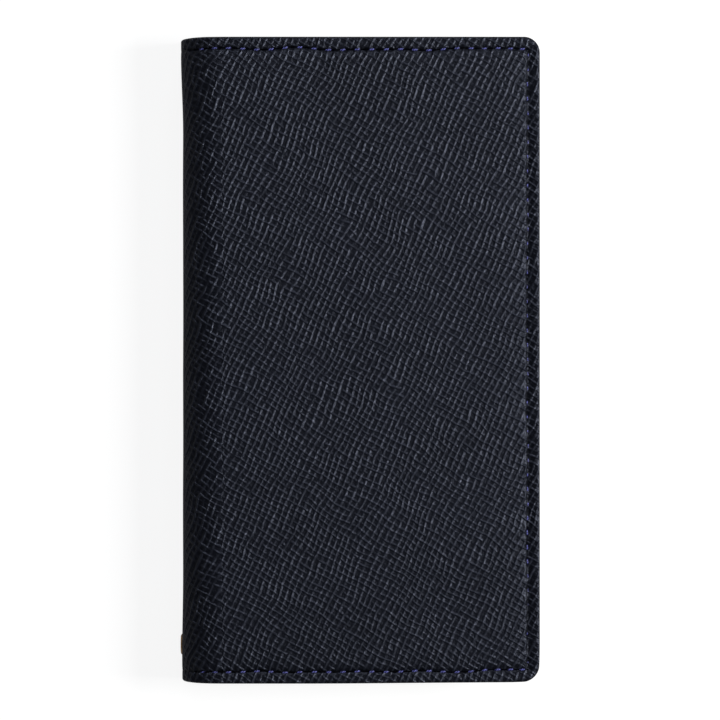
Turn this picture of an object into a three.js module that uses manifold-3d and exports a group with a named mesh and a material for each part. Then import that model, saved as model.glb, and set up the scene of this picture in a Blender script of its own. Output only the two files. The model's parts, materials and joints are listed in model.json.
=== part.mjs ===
// Folio wallet case for a phone: leather covers on a stiff spine, a moulded phone shell inside.
// Units are millimetres. The closed case lies on its back cover: X runs from the spine to the
// fore edge, Y along the phone with its top at +Y, and Z up through the thickness.

import * as THREE from 'three';
import { mergeVertices } from 'three/addons/utils/BufferGeometryUtils.js';
import Module from 'manifold-3d';

const wasm = await Module();
wasm.setup();

// ---- Driving dimensions ------------------------------------------------------------------

// the phone that the case is made for
const phoneLength = 146.7;
const phoneWidth = 71.5;
const phoneDepth = 7.8;
const phoneCornerRadius = 9.5;
const phoneClearance = 0.2;

// sheet materials
const leather = 1.0;
const coverBoard = 1.0;
const spineBoard = 0.8;
const lining = 0.4;
const padding = 0.6;
const leaf = 0.5;
const glueLine = 0.1;
const leafGap = 0.2;
const adhesiveSheet = 0.2;

// moulded shell
const shellFloor = 1.2;
const shellWall = 1.5;
const shellForeWall = 3.2;
const shellLipReach = 0.6;
const shellLipHeight = 0.8;

// how the covers stand around the shell
const endOverhang = 1.95;
const foreOverhang = 2.8;
const spineRoom = 3.0;
const coverClearance = 0.4;
const coverCornerRadius = 3.8;

// folds: the boards stop well short of them, so that the leather bends in a soft curve
const foldGap = 0.3;
const coverSetback = 3.0;
const spineSetback = 3.7;
const pocketSetback = 1.5;
const boardEndInset = 0.5;

// perimeter seam
const seamMargin = 2.8;
const threadWidth = 0.6;
const threadHeight = 0.35;
const grooveWidth = 1.2;
const grooveDepth = 0.4;
const paddingInset = 4.4;

// card leaves
const leafCount = 3;
const firstMouth = 18;
const mouthStep = 10;
const thumbNotchWidth = 20;
const thumbNotchDepth = 5;

// camera window
const windowSize = 37;
const windowRadius = 9;
const windowFromBayEdge = 2.5;
const windowStep = 1.0;

// shell cut-outs, placed from the phone's ends
const powerFromTop = 47.5;
const powerLength = 18;
const volumeFromTop = 36;
const volumeLength = 32;
const buttonSill = 2.6;
const portWidth = 13;
const portHeight = 5.2;
const speakerWidth = 12;
const speakerHeight = 2.2;
const speakerSpacing = 17;

// magnets and their steel plates
const magnetLength = 20;
const magnetWidth = 4;
const magnetFromEnd = 27;
const magnetThinner = 0.1;
const keeperThickness = 1.2;
const keeperHeight = 7.4;
const pocketClearance = 0.3;

// eyelet for a wrist strap
const eyeletFromEnd = 8.8;
const eyeletFlangeRadius = 2.6;
const eyeletProud = 1.0;
const eyeletBarrelRadius = 1.7;
const eyeletBoreRadius = 1.3;
const eyeletClearance = 0.3;
const washerRadius = 3.0;
const washerThickness = 0.4;

// ---- Derived places ----------------------------------------------------------------------

const bayLength = phoneLength + 2 * phoneClearance;
const bayWidth = phoneWidth + 2 * phoneClearance;
const bayRadius = phoneCornerRadius + phoneClearance;
const caseLength = bayLength + 2 * (shellWall + endOverhang);
const spineStack = glueLine + spineBoard + glueLine + lining;
const coverWidth = leather + spineStack + spineRoom + shellWall + bayWidth + shellForeWall + foreOverhang;

// x: the box, with the eyelet, is centred on the origin
const foreEdge = (coverWidth + eyeletProud) / 2;
const spineFace = foreEdge - coverWidth;
const foldX = spineFace + leather;
const spineInside = foldX + spineStack;
const skinStart = foldX + leather + foldGap;
const sheetStart = spineInside + foldGap + coverSetback;
const bayRight = foreEdge - foreOverhang - shellForeWall;
const bayLeft = bayRight - bayWidth;
const bayCentre = (bayLeft + bayRight) / 2;

// z: the back cover, from the table up
const backBoardLow = leather + glueLine;
const backLiningLow = backBoardLow + coverBoard + glueLine;
const adhesiveLow = backLiningLow + lining + glueLine;
const shellLow = adhesiveLow + adhesiveSheet + glueLine;
const bayFloor = shellLow + shellFloor;
const phoneMiddle = bayFloor + phoneDepth / 2;
const shellTop = bayFloor + phoneDepth + shellLipHeight;

// z: the front cover, from the leaf nearest the phone up
const leavesLow = shellTop + coverClearance;
const leafPitch = leaf + leafGap;
const billPanelLow = leavesLow + leafCount * leafPitch;
const frontLiningLow = billPanelLow + leafPitch;
const frontBoardLow = frontLiningLow + lining + glueLine;
const frontSkinLow = frontBoardLow + coverBoard + glueLine;
const frontSkinUnder = frontSkinLow + padding + glueLine;
const caseTop = frontSkinUnder + leather;

// the two folds lie at the leather's inner face
const lowerFoldZ = leather;
const upperFoldZ = caseTop - leather;
const spineSkinLow = lowerFoldZ + leather + foldGap;
const spineSkinHigh = upperFoldZ - leather - foldGap;
const spineSheetLow = spineSkinLow + spineSetback;
const spineSheetHigh = spineSkinHigh - spineSetback;
const eyeletY = -caseLength / 2 + eyeletFromEnd;
const eyeletZ = (lowerFoldZ + upperFoldZ) / 2;

// ---- Materials ---------------------------------------------------------------------------

function material(colour, roughness, metalness = 0) {
  return new THREE.MeshStandardMaterial({ color: colour, roughness, metalness });
}

const leatherColour = '#22252c';
const liningColour = '#26282d';
const threadColour = '#5a5f96';
const boardColour = '#6f6a62';
const foamColour = '#3a3a3c';
const shellColour = '#17181a';
const brassColour = '#a5733c';
const steelColour = '#8d9094';
const magnetColour = '#7d7f84';
const adhesiveColour = '#c9c6bd';

// ---- Shapes ------------------------------------------------------------------------------

const cornerSegments = 8;

// A cover's outline: square at the fold, rounded at the fore corners.
function coverOutline(left, inset, radius = Math.max(coverCornerRadius - inset, 0)) {
  const right = foreEdge - inset;
  const half = caseLength / 2 - inset;
  const shape = new THREE.Shape();
  shape.moveTo(left, -half);
  if (radius > 0) {
    shape.lineTo(right - radius, -half);
    shape.absarc(right - radius, -half + radius, radius, -Math.PI / 2, 0);
    shape.lineTo(right, half - radius);
    shape.absarc(right - radius, half - radius, radius, 0, Math.PI / 2);
  } else {
    shape.lineTo(right, -half);
    shape.lineTo(right, half);
  }
  shape.lineTo(left, half);
  shape.closePath();
  return shape;
}

// A rectangle with round corners, or a square-cornered one when the radius is 0.
function roundedRectangle(left, low, right, high, radius, Kind = THREE.Shape) {
  const shape = new Kind();
  if (radius === 0) {
    shape.moveTo(left, low);
    shape.lineTo(right, low);
    shape.lineTo(right, high);
    shape.lineTo(left, high);
    shape.closePath();
    return shape;
  }
  shape.moveTo(left + radius, low);
  shape.lineTo(right - radius, low);
  shape.absarc(right - radius, low + radius, radius, -Math.PI / 2, 0);
  shape.lineTo(right, high - radius);
  shape.absarc(right - radius, high - radius, radius, 0, Math.PI / 2);
  shape.lineTo(left + radius, high);
  shape.absarc(left + radius, high - radius, radius, Math.PI / 2, Math.PI);
  shape.lineTo(left, low + radius);
  shape.absarc(left + radius, low + radius, radius, Math.PI, 1.5 * Math.PI);
  return shape;
}

// The seam's path as a band that is open towards the fold.
function seamBand(width) {
  const outer = seamMargin - width / 2;
  const inner = seamMargin + width / 2;
  const half = caseLength / 2;
  const shape = new THREE.Shape();
  shape.moveTo(skinStart, -half + outer);
  shape.lineTo(foreEdge - outer, -half + outer);
  shape.lineTo(foreEdge - outer, half - outer);
  shape.lineTo(skinStart, half - outer);
  shape.lineTo(skinStart, half - inner);
  shape.lineTo(foreEdge - inner, half - inner);
  shape.lineTo(foreEdge - inner, -half + inner);
  shape.lineTo(skinStart, -half + inner);
  shape.closePath();
  return shape;
}

// The camera window, larger by grow on each side.
function windowHole(grow, Kind = THREE.Path) {
  const right = bayRight - windowFromBayEdge + grow;
  const high = bayLength / 2 - windowFromBayEdge + grow;
  const size = windowSize + 2 * grow;
  return roundedRectangle(right - size, high - size, right, high, windowRadius + grow, Kind);
}

function slab(shape, low, high) {
  const geometry = new THREE.ExtrudeGeometry(shape, {
    depth: high - low,
    bevelEnabled: false,
    curveSegments: cornerSegments,
  });
  geometry.translate(0, 0, low);
  return geometry;
}

// A slab whose outline is drawn in Y and Z, standing between two x values.
function standingSlab(shape, left, right) {
  const geometry = slab(shape, 0, right - left);
  geometry.rotateX(Math.PI / 2);
  geometry.rotateZ(Math.PI / 2);
  geometry.translate(left, 0, 0);
  return geometry;
}

// ---- Cutting -----------------------------------------------------------------------------

function solidOf(geometry) {
  const bare = geometry.clone();
  bare.deleteAttribute('normal');
  bare.deleteAttribute('uv');
  const merged = mergeVertices(bare, 1e-4);
  return new wasm.Manifold(new wasm.Mesh({
    numProp: 3,
    vertProperties: new Float32Array(merged.attributes.position.array),
    triVerts: new Uint32Array(merged.index.array),
  }));
}

function cut(geometry, ...cutters) {
  let solid = solidOf(geometry);
  for (const cutter of cutters) {
    solid = solid.subtract(solidOf(cutter));
  }
  const mesh = solid.getMesh();
  const result = new THREE.BufferGeometry();
  result.setAttribute('position', new THREE.BufferAttribute(new Float32Array(mesh.vertProperties), 3));
  result.setIndex(new THREE.BufferAttribute(new Uint32Array(mesh.triVerts), 1));
  result.computeVertexNormals();
  return result;
}

// ---- Assembly ----------------------------------------------------------------------------

const group = new THREE.Group();
const past = 1;

function add(name, geometry, surface) {
  const mesh = new THREE.Mesh(geometry, surface);
  mesh.name = name;
  group.add(mesh);
}

// magnets and keepers sit near the top and the bottom of the fore edge
const magnetY = caseLength / 2 - magnetFromEnd;
const magnetX = foreEdge - seamMargin - grooveWidth / 2 - pocketClearance - magnetWidth / 2;
const magnetPlaces = [['upper', magnetY], ['lower', -magnetY]];

function barAt(x, y, width, length, Kind = THREE.Shape) {
  return roundedRectangle(x - width / 2, y - length / 2, x + width / 2, y + length / 2, 0, Kind);
}

// Front cover leather: turned over at the rim, hollowed below for the padding, grooved above.
function frontLeather() {
  const hollow = coverOutline(sheetStart - pocketClearance, paddingInset - pocketClearance, 1);
  return cut(
    slab(coverOutline(skinStart, 0), frontSkinLow, caseTop),
    slab(hollow, frontSkinLow - past, frontSkinUnder),
    slab(seamBand(grooveWidth), caseTop - grooveDepth, caseTop + past),
  );
}

function buildFrontCover() {
  add('front_outer_leather', frontLeather(), material(leatherColour, 0.55));
  add('front_padding',
    slab(coverOutline(sheetStart, paddingInset, 1), frontSkinLow, frontSkinLow + padding),
    material(foamColour, 0.95));

  const boardShape = coverOutline(sheetStart, 0);
  for (const [, y] of magnetPlaces) {
    const width = magnetWidth + 2 * pocketClearance;
    const length = magnetLength + 2 * pocketClearance;
    boardShape.holes.push(barAt(magnetX, y, width, length, THREE.Path));
  }
  add('front_board', slab(boardShape, frontBoardLow, frontBoardLow + coverBoard), material(boardColour, 0.9));
  for (const [place, y] of magnetPlaces) {
    add(`front_magnet_${place}`,
      slab(barAt(magnetX, y, magnetWidth, magnetLength),
        frontBoardLow, frontBoardLow + coverBoard - magnetThinner),
      material(magnetColour, 0.35, 1));
  }

  add('front_lining',
    slab(coverOutline(sheetStart, 0), frontLiningLow, frontLiningLow + lining),
    material(liningColour, 0.8));
  add('bill_pocket_panel',
    slab(coverOutline(sheetStart + pocketSetback, 0), billPanelLow, billPanelLow + leaf),
    material(leatherColour, 0.6));
  buildCardLeaves();
  add('front_stitch_thread',
    slab(seamBand(threadWidth), caseTop - grooveDepth, caseTop - grooveDepth + threadHeight),
    material(threadColour, 0.7));
}

// Card leaves: leaf 1 lies against the pocket panel and reaches nearest to the spine.
function buildCardLeaves() {
  for (let i = 0; i < leafCount; i += 1) {
    const mouth = foldX + firstMouth + i * mouthStep;
    const low = billPanelLow - (i + 1) * leafPitch;
    const notch = new THREE.Shape();
    notch.absellipse(mouth, 0, thumbNotchDepth, thumbNotchWidth / 2, 0, 2 * Math.PI);
    add(`card_leaf_${i + 1}`,
      cut(slab(coverOutline(mouth, 0), low, low + leaf), slab(notch, low - past, low + leaf + past)),
      material(leatherColour, 0.6));
  }
}

// The leather in a fold: a roll as thick as the leather, about the fold's axis.
function foldRoll(z) {
  const geometry = new THREE.CylinderGeometry(leather, leather, caseLength, 24);
  geometry.translate(foldX, 0, z);
  return geometry;
}

// A spine sheet, with the hole that the eyelet's barrel passes through.
function spineSheet(left, right, low, high, inset) {
  const half = caseLength / 2 - inset;
  const shape = roundedRectangle(-half, low, half, high, 0);
  const hole = new THREE.Path();
  hole.absarc(eyeletY, eyeletZ, eyeletBarrelRadius + eyeletClearance, 0, 2 * Math.PI, true);
  shape.holes.push(hole);
  return standingSlab(shape, left, right);
}

// A ring about the eyelet's axis, turned from its section, which is given as [radius, x]
// and goes from the bore inwards and back along the outside.
function eyeletRing(section) {
  const points = section.map(([radius, x]) => new THREE.Vector2(radius, x)).reverse();
  const geometry = new THREE.LatheGeometry([...points, points[0].clone()], 36);
  geometry.rotateZ(-Math.PI / 2);
  geometry.translate(0, eyeletY, eyeletZ);
  return geometry;
}

// The eyelet: a domed flange outside the spine, a barrel through it and a rolled end inside.
function eyelet() {
  const flangeInner = spineFace - glueLine / 2;
  const flangeOuter = spineFace - eyeletProud;
  const rollStart = spineInside + washerThickness + glueLine;
  const rollRadius = eyeletBarrelRadius + 0.6;
  return eyeletRing([
    [eyeletBoreRadius, flangeOuter + 0.25],
    [eyeletBoreRadius, rollStart + 0.55],
    [eyeletBarrelRadius, rollStart + 0.7],
    [rollRadius, rollStart + 0.45],
    [rollRadius, rollStart + 0.1],
    [eyeletBarrelRadius, rollStart + 0.05],
    [eyeletBarrelRadius, flangeInner],
    [eyeletFlangeRadius - 0.15, flangeInner],
    [eyeletFlangeRadius, flangeInner - 0.3],
    [eyeletFlangeRadius - 0.25, flangeOuter + 0.25],
    [eyeletFlangeRadius - 0.65, flangeOuter],
    [eyeletBoreRadius + 0.25, flangeOuter],
  ]);
}

function washer() {
  const inner = eyeletBarrelRadius + eyeletClearance;
  const left = spineInside + glueLine / 2;
  const right = left + washerThickness;
  return eyeletRing([[inner, left], [inner, right], [washerRadius, right], [washerRadius, left]]);
}

function buildSpine() {
  add('spine_outer_leather',
    spineSheet(spineFace, foldX, spineSkinLow, spineSkinHigh, 0),
    material(leatherColour, 0.55));
  add('upper_fold_leather', foldRoll(upperFoldZ), material(leatherColour, 0.55));
  add('lower_fold_leather', foldRoll(lowerFoldZ), material(leatherColour, 0.55));
  const boardLeft = foldX + glueLine;
  add('spine_board',
    spineSheet(boardLeft, boardLeft + spineBoard, spineSheetLow, spineSheetHigh, boardEndInset),
    material(boardColour, 0.9));
  add('spine_lining',
    spineSheet(spineInside - lining, spineInside, spineSheetLow, spineSheetHigh, 0),
    material(liningColour, 0.8));
  add('spine_eyelet', eyelet(), material(brassColour, 0.35, 1));
  add('eyelet_washer', washer(), material(brassColour, 0.4, 1));
}

// A sheet of the back cover with the camera window in it.
function backSheet(left, low, high, windowGrow) {
  const shape = coverOutline(left, 0);
  shape.holes.push(windowHole(windowGrow));
  return slab(shape, low, high);
}

// An upright pad that cuts through an end wall: its outline is drawn in X and Z.
function endCutter(x, width, height) {
  const radius = height / 2 - 0.01;
  const shape = roundedRectangle(x - width / 2, -height / 2, x + width / 2, height / 2, radius);
  const depth = shellWall + 2 * past;
  const geometry = slab(shape, 0, depth);
  geometry.rotateX(Math.PI / 2);
  geometry.translate(0, -bayLength / 2 + past, phoneMiddle);
  return geometry;
}

// A notch for side buttons: its outline is drawn in Y and Z, open at the lip.
function buttonCutter(left, right, fromTop, length) {
  const y = phoneLength / 2 - fromTop;
  const low = bayFloor + buttonSill;
  const shape = roundedRectangle(y - length / 2, low, y + length / 2, shellTop + 3 * past, 1.5);
  return standingSlab(shape, left, right);
}

// The shell: a tray with a lip that holds the phone, open where the phone has to be reached.
function phoneShell() {
  const half = bayLength / 2;
  const outerRadius = bayRadius + shellWall;
  const outer = roundedRectangle(
    bayLeft - shellWall, -half - shellWall, bayRight + shellForeWall, half + shellWall, outerRadius);
  const bay = roundedRectangle(bayLeft, -half, bayRight, half, bayRadius);
  const reach = shellLipReach;
  const mouth = roundedRectangle(
    bayLeft + reach, -half + reach, bayRight - reach, half - reach, bayRadius - reach);
  const keeperSlots = magnetPlaces.map(([, y]) => slab(
    barAt(bayRight + shellForeWall / 2, y,
      keeperThickness + 2 * pocketClearance, magnetLength + 2 * pocketClearance),
    shellLow - past, shellLow + keeperHeight + 2 * pocketClearance));
  return cut(
    slab(outer, shellLow, shellTop),
    slab(bay, bayFloor, shellTop - shellLipHeight),
    slab(mouth, shellTop - shellLipHeight - past, shellTop + past),
    slab(windowHole(0, THREE.Shape), shellLow - past, bayFloor + past),
    endCutter(bayCentre, portWidth, portHeight),
    endCutter(bayCentre - speakerSpacing, speakerWidth, speakerHeight),
    endCutter(bayCentre + speakerSpacing, speakerWidth, speakerHeight),
    buttonCutter(bayRight - past, bayRight + shellForeWall + past, powerFromTop, powerLength),
    buttonCutter(bayLeft - shellWall - past, bayLeft + past, volumeFromTop, volumeLength),
    ...keeperSlots,
  );
}

function backLeather() {
  return cut(
    backSheet(skinStart, 0, leather, windowStep),
    slab(seamBand(grooveWidth), -past, grooveDepth),
  );
}

function buildBackCover() {
  add('back_outer_leather', backLeather(), material(leatherColour, 0.55));
  add('back_board',
    backSheet(sheetStart, backBoardLow, backBoardLow + coverBoard, windowStep),
    material(boardColour, 0.9));
  add('back_lining',
    backSheet(sheetStart, backLiningLow, backLiningLow + lining, windowStep),
    material(liningColour, 0.8));
  add('back_stitch_thread',
    slab(seamBand(threadWidth), grooveDepth - threadHeight, grooveDepth),
    material(threadColour, 0.7));

  const inset = shellWall;
  const sheet = roundedRectangle(
    bayLeft - shellWall + inset, -bayLength / 2 - shellWall + inset,
    bayRight + shellForeWall - inset, bayLength / 2 + shellWall - inset, bayRadius);
  sheet.holes.push(windowHole(windowStep));
  add('shell_adhesive', slab(sheet, adhesiveLow, adhesiveLow + adhesiveSheet), material(adhesiveColour, 0.6));
  add('phone_shell', phoneShell(), material(shellColour, 0.5));
  for (const [place, y] of magnetPlaces) {
    const low = shellLow + pocketClearance;
    add(`shell_keeper_${place}`,
      slab(barAt(bayRight + shellForeWall / 2, y, keeperThickness, magnetLength), low, low + keeperHeight),
      material(steelColour, 0.4, 1));
  }
}

buildFrontCover();
buildSpine();
buildBackCover();

export default group;
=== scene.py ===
# %% [markdown]
# # A leather wallet case for a phone
# The case is a folio: a padded front cover, a stiff spine and a back cover that carries a moulded
# shell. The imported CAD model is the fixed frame. It says where everything is and how it moves, and
# this notebook puts the real surfaces on it: one leather skin that bends round the spine, its
# stitches, the lining, the card leaves, the shell and the brass eyelet.

# %% Load the frame
import json
import math
from collections import namedtuple

import bmesh
import bpy
import numpy as np
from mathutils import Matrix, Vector, noise

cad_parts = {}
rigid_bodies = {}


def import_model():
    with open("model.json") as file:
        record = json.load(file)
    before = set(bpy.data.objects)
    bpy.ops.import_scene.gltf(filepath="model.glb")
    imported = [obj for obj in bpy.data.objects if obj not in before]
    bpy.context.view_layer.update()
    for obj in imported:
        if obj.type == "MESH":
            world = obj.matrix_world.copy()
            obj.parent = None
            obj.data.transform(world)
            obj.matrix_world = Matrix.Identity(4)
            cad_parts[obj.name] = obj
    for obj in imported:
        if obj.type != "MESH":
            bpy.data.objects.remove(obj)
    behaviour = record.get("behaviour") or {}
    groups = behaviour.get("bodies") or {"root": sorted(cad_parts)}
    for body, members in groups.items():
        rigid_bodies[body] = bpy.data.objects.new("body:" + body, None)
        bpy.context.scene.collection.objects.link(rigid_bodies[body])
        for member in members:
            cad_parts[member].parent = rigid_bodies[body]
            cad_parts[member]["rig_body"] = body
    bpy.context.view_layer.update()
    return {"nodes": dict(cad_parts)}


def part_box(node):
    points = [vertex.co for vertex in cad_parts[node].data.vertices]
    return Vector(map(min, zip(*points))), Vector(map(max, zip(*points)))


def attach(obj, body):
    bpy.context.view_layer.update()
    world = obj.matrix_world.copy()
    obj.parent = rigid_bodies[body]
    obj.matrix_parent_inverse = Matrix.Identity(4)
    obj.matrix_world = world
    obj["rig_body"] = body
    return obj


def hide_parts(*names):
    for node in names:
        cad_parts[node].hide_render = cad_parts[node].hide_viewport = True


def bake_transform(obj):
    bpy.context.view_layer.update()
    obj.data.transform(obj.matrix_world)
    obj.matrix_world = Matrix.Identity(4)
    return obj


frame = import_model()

mm = 0.001

# %% [markdown]
# ## Measuring the frame
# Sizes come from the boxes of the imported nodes, so that the surfaces land exactly on the parts
# they cover. Typing numbers by eye would also work, but it drifts as soon as the CAD changes.
# The few values that a box can't tell, such as a corner's radius, are named here.

# %% Read the places that everything else uses
def places(name):
    """The lowest and highest corners of a CAD node."""
    low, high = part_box(name)
    return np.array(low), np.array(high)


skin_low, skin_high = places("front_outer_leather")
spine_low, spine_high = places("spine_outer_leather")
lining_low, lining_high = places("front_lining")
back_lining_low, back_lining_high = places("back_lining")
spine_lining_low, _ = places("spine_lining")
eyelet_low, eyelet_high = places("spine_eyelet")
shell_low, shell_high = places("phone_shell")

fore_x, half_y, top_z = skin_high
middle_z = top_z / 2
spine_x = spine_low[0]
leather = spine_high[0] - spine_low[0]
board_x = lining_low[0]
cover_centre_x = (spine_x + fore_x) / 2
lining_thickness = lining_high[2] - lining_low[2]

corner_radius = 3.8 * mm
seam_from_end = 2.85 * mm
seam_from_fore = 2.95 * mm
stitch_pitch = 3.45 * mm
cover_size = [round(v / mm, 2) for v in (fore_x - spine_x, 2 * half_y, top_z)]
print("cover", *cover_size, "mm")

# %% [markdown]
# ## Camera, floor and light
# A product like this is shot straight from above with a long lens, so that its sides don't show.
# The camera stands over the cover. One soft light on the right, halfway up the sky, does most of
# the work: it rakes the grain, so that each ridge gets a bright right flank. A light over the
# camera would only grey the dark leather. A weaker light beyond the head and a dim room keep the
# shadows open.

# %% Stand the camera over the cover
camera_height = 1200 * mm
frame_width = 171.4 * mm
camera_aside = 0.42 * mm
sensor_width = 36.0
camera_data = bpy.data.cameras.new("camera")
camera_data.sensor_width = sensor_width
camera_data.lens = sensor_width * (camera_height - top_z) / frame_width
camera_data.clip_end = 20
camera = bpy.data.objects.new("camera", camera_data)
camera.location = (cover_centre_x - camera_aside, 0, camera_height)
bpy.context.collection.objects.link(camera)
bpy.context.scene.camera = camera
bpy.context.scene.view_settings.view_transform = "Standard"
print("lens", round(camera_data.lens, 1), "mm")


# %% [markdown]
# Every finish below is a tree of nodes. A few helpers keep those trees short: one turns a colour
# code into Blender's linear light, one adds a node, and the others make what each material needs.

# %% Helpers for colours, nodes and materials
def linear(code):
    """An sRGB hex colour as the linear red, green, blue and alpha that Blender works in."""
    values = [int(code[i:i + 2], 16) / 255 for i in (1, 3, 5)]
    return [v / 12.92 if v <= 0.04045 else ((v + 0.055) / 1.055) ** 2.4 for v in values] + [1.0]


def node(tree, kind, inputs=None, **settings):
    """Adds a node, sets its properties, and sets or links its inputs by name or number."""
    made = tree.nodes.new(kind)
    for key, value in settings.items():
        setattr(made, key, value)
    for key, value in (inputs or {}).items():
        if isinstance(value, bpy.types.NodeSocket):
            tree.links.new(value, made.inputs[key])
        else:
            made.inputs[key].default_value = value
    return made


def new_material(name, roughness, metallic=0.0, **sockets):
    """A material with only its shader and output, and the numbers that are the same all over."""
    material = bpy.data.materials.new(name)
    material.use_nodes = True
    tree = material.node_tree
    tree.nodes.clear()
    shader = node(tree, "ShaderNodeBsdfPrincipled", {"Roughness": roughness, "Metallic": metallic})
    for label, value in sockets.items():
        shader.inputs[label.replace("_", " ")].default_value = value
    node(tree, "ShaderNodeOutputMaterial", {"Surface": shader.outputs[0]})
    return material, tree, shader


def two_tone(tree, shader, factor, dark, light, low=0.0, high=1.0):
    """Colours the shader between two dyes, by a factor that runs from low to high."""
    ramp = node(tree, "ShaderNodeValToRGB", {"Fac": factor})
    first, last = ramp.color_ramp.elements
    first.position, last.position = low, high
    first.color, last.color = linear(dark), linear(light)
    tree.links.new(ramp.outputs[0], shader.inputs["Base Color"])
    return ramp.outputs[0]


def object_mm(tree):
    """The place on the piece, in millimetres."""
    place = node(tree, "ShaderNodeTexCoord")
    return node(tree, "ShaderNodeVectorMath", {0: place.outputs["Object"], "Scale": 1 / mm},
                operation="SCALE").outputs[0]


def add_bump(tree, shader, height, depth):
    """Lets a pattern catch the light as if it stood up by a depth in metres."""
    bump = node(tree, "ShaderNodeBump", {"Height": height, "Distance": depth})
    tree.links.new(bump.outputs[0], shader.inputs["Normal"])


# %% [markdown]
# The floor and the room glow near white for the camera only. What they give to the leather is set
# apart and weak, because a bright floor all round would fill the shadows between the ridges.

# %% Lay the floor and close the room
def pale_floor(seen, given):
    """A light table: the camera sees it glow near white, but little of its glow reaches the leather."""
    material, tree, shader = new_material("matt_white_board", 0.9)
    mottling = node(tree, "ShaderNodeTexNoise", {"Vector": object_mm(tree), "Scale": 0.006, "Detail": 3.0})
    two_tone(tree, shader, mottling.outputs[0], "#8f8f8f", "#949494", 0.3, 0.7)
    shader.inputs["Emission Color"].default_value = linear("#ffffff")
    ray = node(tree, "ShaderNodeLightPath")
    glow = node(tree, "ShaderNodeMapRange", {"Value": ray.outputs["Is Camera Ray"],
                                             "To Min": given, "To Max": seen})
    tree.links.new(glow.outputs[0], shader.inputs["Emission Strength"])
    reach, below = 3.0, -0.05 * mm
    mesh = bpy.data.meshes.new("floor")
    mesh.from_pydata([(-reach, -reach, below), (reach, -reach, below), (reach, reach, below),
                      (-reach, reach, below)], [], [(0, 1, 2, 3)])
    mesh.materials.append(material)
    floor = bpy.data.objects.new("floor", mesh)
    bpy.context.collection.objects.link(floor)


def pale_room(seen, given):
    """The room: what the camera sees of it is pale, and what it gives as light is weak."""
    world = bpy.data.worlds.new("pale_room")
    bpy.context.scene.world = world
    world.use_nodes = True
    tree = world.node_tree
    ray = node(tree, "ShaderNodeLightPath")
    strength = node(tree, "ShaderNodeMapRange", {"Value": ray.outputs["Is Camera Ray"],
                                                 "To Min": given, "To Max": seen})
    background = tree.nodes["Background"]
    background.inputs["Color"].default_value = linear("#f4f6fa")
    tree.links.new(strength.outputs[0], background.inputs["Strength"])


pale_floor(seen=0.88, given=0.06)
pale_room(seen=0.95, given=0.045)

# %% [markdown]
# Both lights are large for so small a thing, so that the ridges shade softly from light to dark.
# A point light would draw each one as a hard white thread.

# %% Hang the lights
def area_light(name, place, size, watts, colour, target=(0, 0, 0)):
    """A soft rectangular light that looks at the case."""
    data = bpy.data.lights.new(name, "AREA")
    data.shape = "RECTANGLE"
    data.size, data.size_y = size
    data.energy = watts
    data.color = linear(colour)[:3]
    light = bpy.data.objects.new(name, data)
    light.location = place
    light.rotation_euler = (Vector(target) - Vector(place)).to_track_quat("-Z", "Y").to_euler()
    bpy.context.collection.objects.link(light)


area_light("key_right", (0.66, 0.02, 0.58), (0.30, 0.46), 6.6, "#ffffff")
area_light("head", (-0.05, 0.85, 0.70), (0.60, 0.40), 2.4, "#f4f7ff")
print("lights", sorted(light.name for light in bpy.data.lights))


# %% [markdown]
# ## The leather
# The real cover is cowhide with a cross grain: a plate presses two families of fine ridges into
# it, which cross at a slant and make lozenges about 1.5 mm wide. A satin finish lies on top.
# The ridges are drawn by folding two slanted coordinates, each warped a little so that no line is
# ruler straight, and a noise that is stretched along each family breaks its lines into dashes. The
# pattern follows the developed leather, in millimetres along and across it, so that it stays put
# where the cover bends. A photograph of leather would be quicker, but this scene uses no images.

# %% Cross-grain leather
Family = namedtuple("Family", "spacing lean width dash least most")
# spacing and dash are in mm, lean is the ridge's angle from the width in degrees, and width is
# the share of the spacing that a ridge takes on each side; least and most are its strength
steep_ridges = Family(1.46, 65.0, 0.34, 2.4, 0.30, 1.0)
flat_ridges = Family(1.38, -31.0, 0.33, 1.7, 0.12, 0.80)
grain_height = 0.24 * mm
# how far a ridge strays from a straight line, in mm
line_wander = 3.2
# what a knot, where two ridges cross, and the pores between add to a ridge's height of 1
knot_rise = 0.90
pore_rise = 0.38


def ridges(tree, coords, family, seed):
    """One family of slanted ridges: 1 on a ridge's top and 0 between the ridges."""
    lean = -math.radians(family.lean)
    turned = node(tree, "ShaderNodeMapping", {"Vector": coords, "Rotation": (0, 0, lean)})
    axes = node(tree, "ShaderNodeSeparateXYZ", {0: turned.outputs[0]})
    across = node(tree, "ShaderNodeMath", {0: axes.outputs[1], 1: 1 / family.spacing}, operation="MULTIPLY")
    folded = node(tree, "ShaderNodeMath", {0: across.outputs[0], 1: 0.5}, operation="PINGPONG")
    ridge = node(tree, "ShaderNodeMapRange", {"Value": folded.outputs[0], "From Max": family.width,
                                              "To Min": 1.0, "To Max": 0.0},
                 interpolation_type="SMOOTHSTEP")
    along = node(tree, "ShaderNodeMath", {0: axes.outputs[0], 1: 1 / family.dash}, operation="MULTIPLY")
    dashes = node(tree, "ShaderNodeCombineXYZ", {0: along.outputs[0], 1: across.outputs[0], 2: seed})
    breaks = node(tree, "ShaderNodeTexNoise", {"Vector": dashes.outputs[0], "Scale": 0.85, "Detail": 1.0})
    strength = node(tree, "ShaderNodeMapRange", {"Value": breaks.outputs[0],
                                                 "From Min": 0.36, "From Max": 0.62,
                                                 "To Min": family.least, "To Max": family.most})
    return node(tree, "ShaderNodeMath", {0: ridge.outputs[0], 1: strength.outputs[0]},
                operation="MULTIPLY").outputs[0]
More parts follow.
